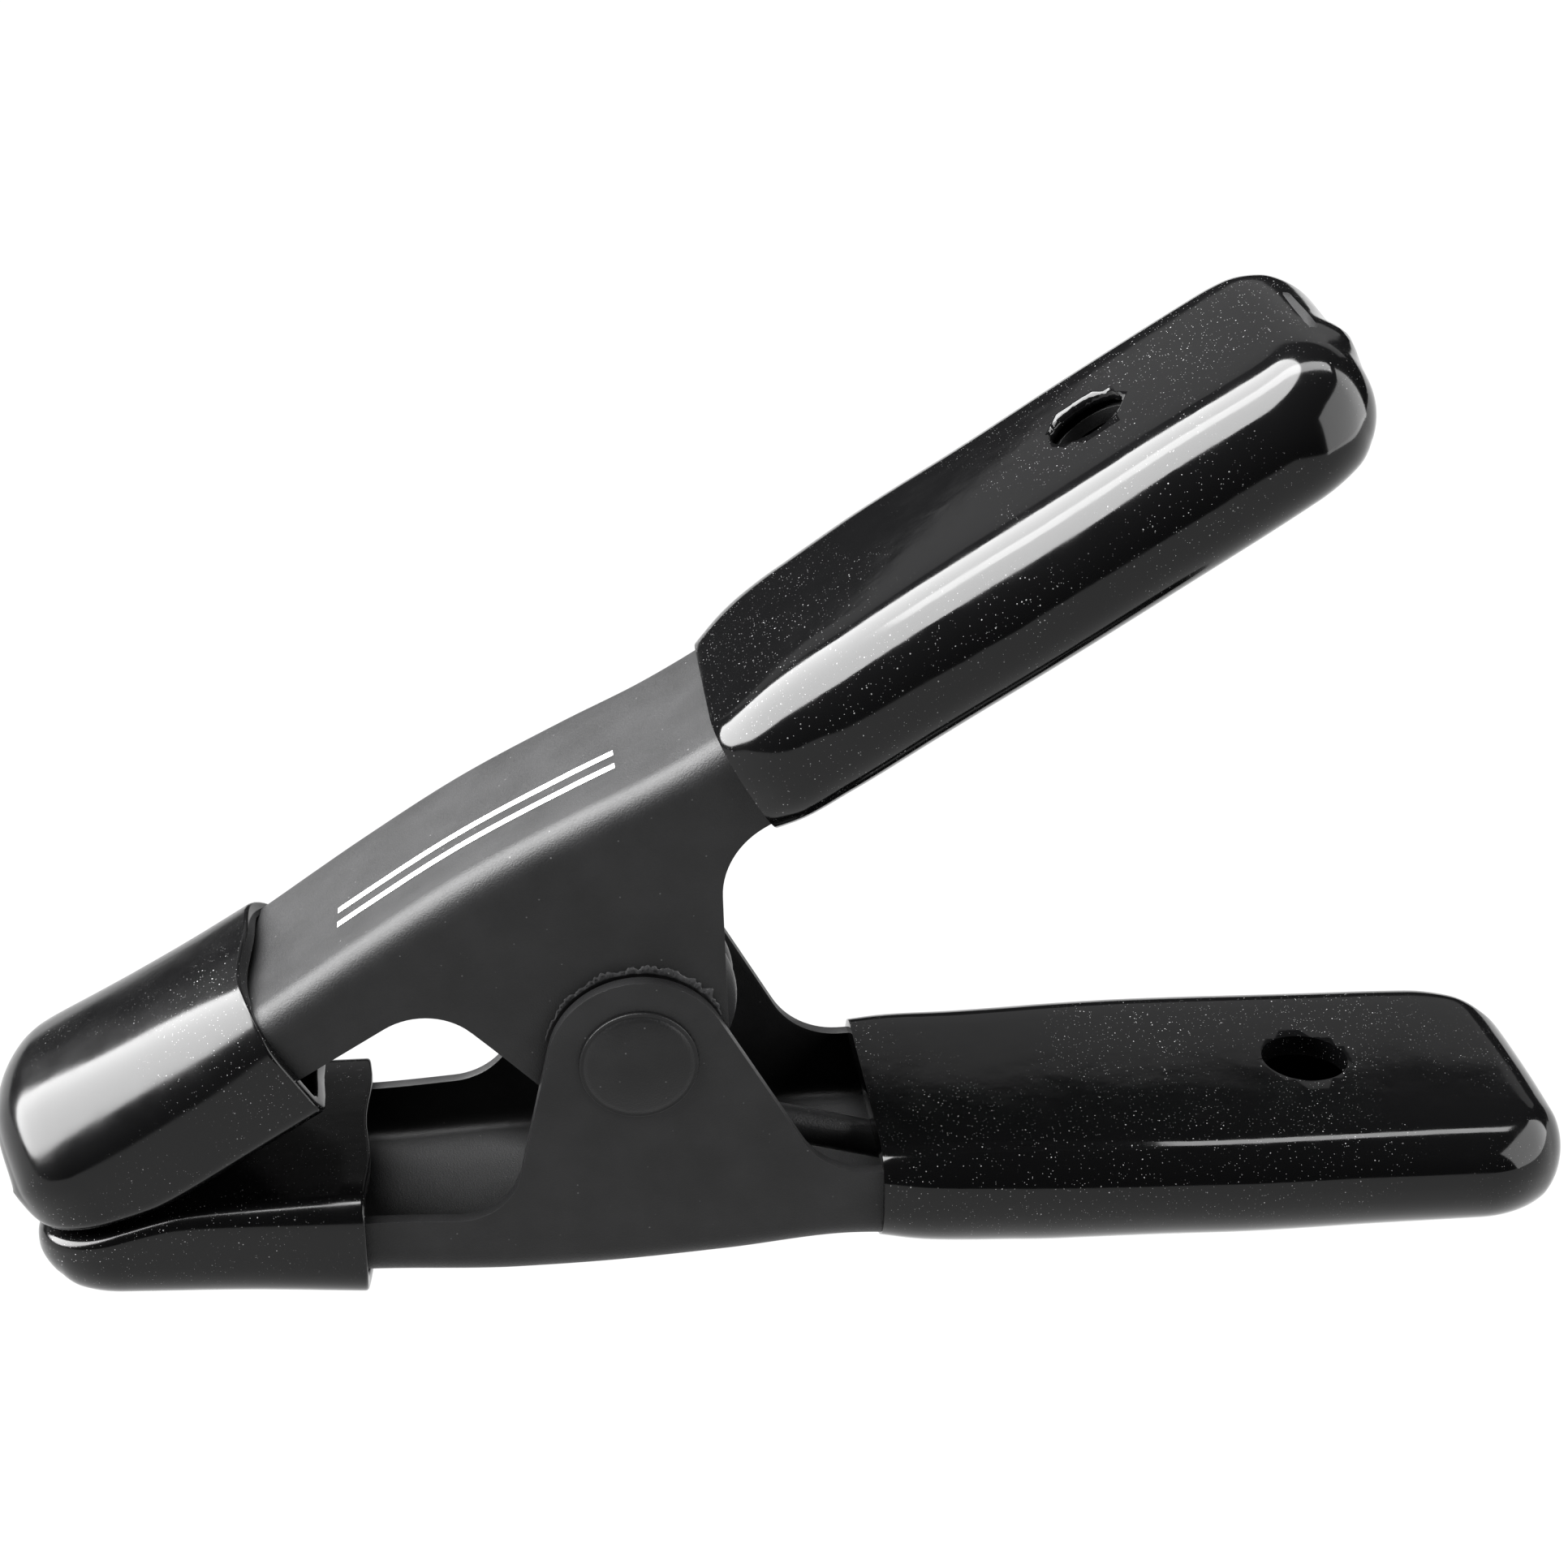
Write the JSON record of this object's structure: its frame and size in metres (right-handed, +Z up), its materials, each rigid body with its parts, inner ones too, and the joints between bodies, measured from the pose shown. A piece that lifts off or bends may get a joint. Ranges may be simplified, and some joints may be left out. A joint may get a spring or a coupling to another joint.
{
  "type": "spring clamp",
  "caption": "Steel spring clamp with nested channel arms on a riveted pivot, a round-wire torsion spring, vinyl handle sleeves and vinyl jaw bags.",
  "frame": {"origin": "middle of the shut clamp's length and width, on the table it lies on", "axes": "+X towards the handles, along the clamp's length; +Y along the pivot, away from the front; +Z up from the table"},
  "size_m": [0.1664, 0.0374, 0.1005],
  "materials": {
    "coated_steel": "satin",
    "coated_spring": "gloss",
    "vinyl": "gloss"
  },
  "bodies": {
    "lower": {"lower_arm": "coated_steel", "pivot_rivet": "coated_steel", "torsion_spring": "coated_spring", "lower_grip": "vinyl", "lower_jaw_cap": "vinyl"},
    "upper": {"upper_arm": "coated_steel", "upper_grip": "vinyl", "upper_jaw_cap": "vinyl"}
  },
  "joints": [
    {"name": "pivot_hinge", "type": "hinge", "parent": "lower", "child": "upper", "pos_m": [-0.01798, 0, 0.02735], "axis": [0, 1, 0], "range_deg": [0, 48], "stiffness_Nm_per_rad": 6.5, "springref_deg": -21.77, "deforming": ["torsion_spring"]}
  ]
}
